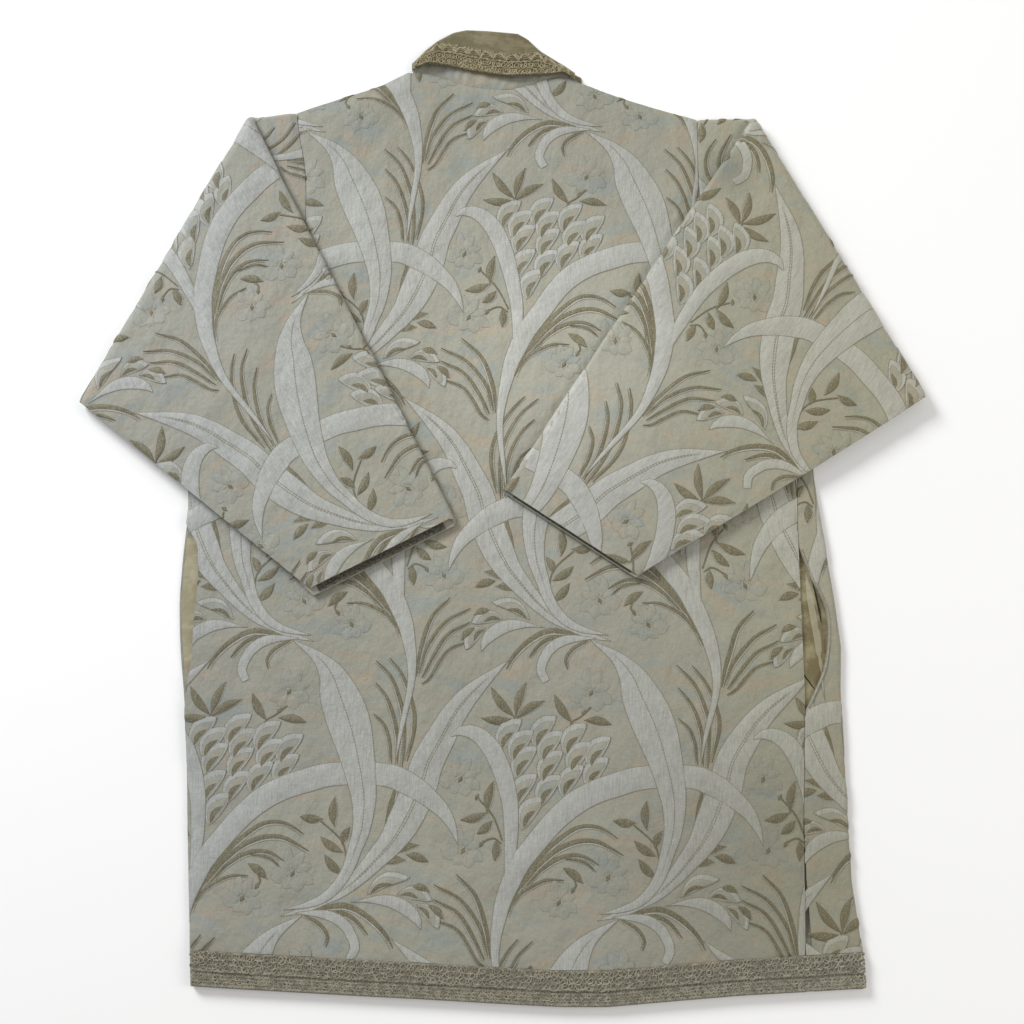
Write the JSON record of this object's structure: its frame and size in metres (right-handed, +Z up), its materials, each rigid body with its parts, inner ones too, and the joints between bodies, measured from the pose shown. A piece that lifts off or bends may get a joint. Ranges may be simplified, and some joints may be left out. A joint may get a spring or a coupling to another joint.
{
  "type": "quilted coat, laid flat face down with folded sleeves",
  "caption": "Quilted brocade coat laid flat on its front, sleeves folded across the back, with a turned-down satin collar and braid at the collar, hem and cuffs.",
  "frame": {"origin": "bottom centre of the laid coat's box, on the surface that it lies on", "axes": "+X to the right with the collar at the top, +Y from the hem to the collar, +Z up out of the coat's back"},
  "size_m": [0.8132, 0.9432, 0.0196],
  "materials": {
    "brocade": "grey-green brocade with silvery and olive quilted leaves, soft sheen",
    "satin": "olive satin",
    "braid": "woven braid with bronze cord"
  },
  "bodies": {
    "root": {"back_panel": "brocade", "front_left": "brocade", "front_right": "brocade", "sleeve_left": "brocade", "sleeve_right": "brocade", "collar_stand": "brocade", "collar_fall": "satin", "collar_leaf_left": "satin", "collar_leaf_right": "satin", "pocket_bag_left": "satin", "pocket_bag_right": "satin", "collar_braid": "braid", "hem_braid": "braid", "hem_braid_left": "braid", "cuff_braid_left": "braid", "cuff_braid_right": "braid"}
  },
  "joints": []
}
